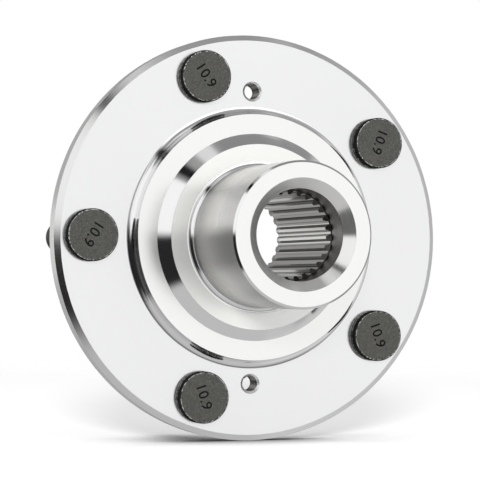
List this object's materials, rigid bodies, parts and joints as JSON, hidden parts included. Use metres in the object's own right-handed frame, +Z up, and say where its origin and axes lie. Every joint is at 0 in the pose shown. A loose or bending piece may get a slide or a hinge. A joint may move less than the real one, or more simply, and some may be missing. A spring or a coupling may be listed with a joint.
{
  "type": "wheel hub",
  "caption": "Driven wheel hub: round flange with pressed-in wheel studs, stepped boss, bearing barrel with an internally splined bore, and a wheel pilot.",
  "frame": {"origin": "on the spin axis, in the plane of the mounting face that the brake disc and wheel sit against", "axes": "+Y along the spin axis, out towards the wheel; the bearing barrel points to -Y; +Z up through the upper disc screw hole, as the hub stands in the picture"},
  "size_m": [0.1388, 0.0838, 0.1388],
  "materials": {
    "turned_steel": "bright fine-turned steel, ground on the bearing seat",
    "phosphated_steel": "dark phosphate coating, dull and slightly mottled"
  },
  "bodies": {
    "root": {"hub_body": "turned_steel", "wheel_stud_1": "phosphated_steel", "wheel_stud_2": "phosphated_steel", "wheel_stud_3": "phosphated_steel", "wheel_stud_4": "phosphated_steel", "wheel_stud_5": "phosphated_steel"}
  },
  "joints": []
}
